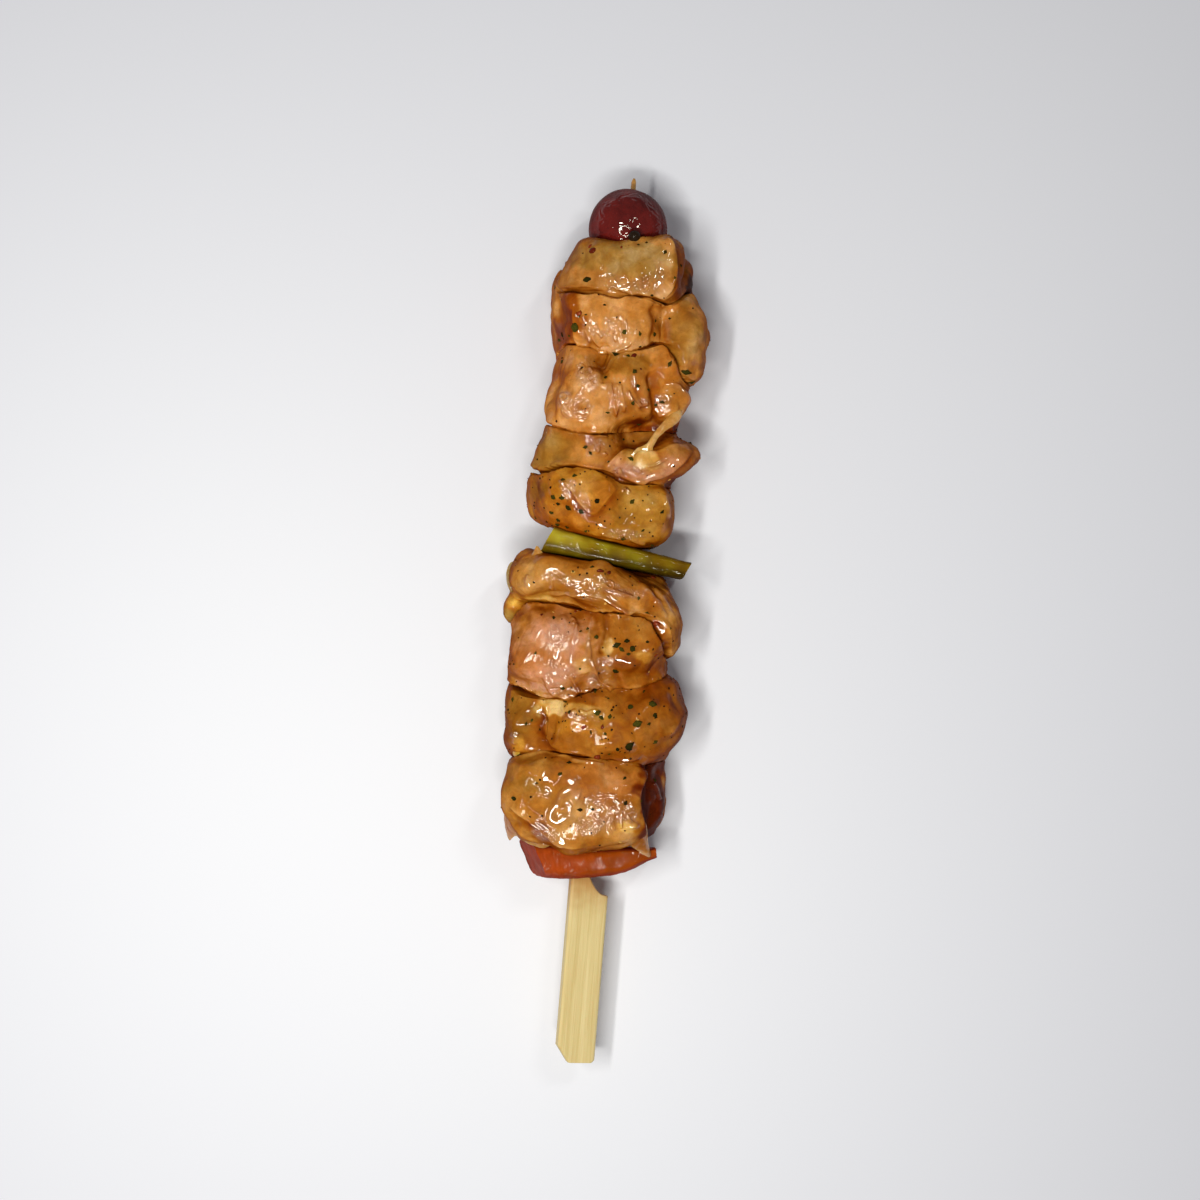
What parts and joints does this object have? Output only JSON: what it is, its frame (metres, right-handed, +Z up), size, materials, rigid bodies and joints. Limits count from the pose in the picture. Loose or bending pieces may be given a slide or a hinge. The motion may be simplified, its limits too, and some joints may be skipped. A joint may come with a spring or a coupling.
{
  "type": "raw chicken kebab skewer",
  "caption": "Raw marinated chicken pieces threaded on a flat-handled bamboo skewer, with strips of sweet pepper between them and a grape at the tip.",
  "frame": {"origin": "middle of the part's bounding box in plan, on the surface that the meat lies on", "axes": "+Y along the skewer towards its sharp tip, +Z up, +X to the right of the skewer seen from above"},
  "size_m": [0.0524, 0.2508, 0.0354],
  "materials": {
    "bamboo": "pale split bamboo, fine lengthwise grain, unvarnished",
    "raw_chicken": "raw meat under a wet amber marinade with herb and chilli flakes",
    "grape_skin": "smooth dark red grape skin, wet",
    "green_pepper": "olive green pepper flesh, wet with marinade",
    "red_pepper": "orange red pepper skin and flesh, wet with marinade"
  },
  "bodies": {
    "root": {"skewer": "bamboo", "red_grape": "grape_skin", "chicken_1": "raw_chicken", "chicken_2": "raw_chicken", "chicken_3": "raw_chicken", "chicken_4": "raw_chicken", "chicken_5": "raw_chicken", "green_pepper": "green_pepper", "chicken_6": "raw_chicken", "chicken_7": "raw_chicken", "chicken_8": "raw_chicken", "chicken_9": "raw_chicken", "red_pepper": "red_pepper"}
  },
  "joints": []
}
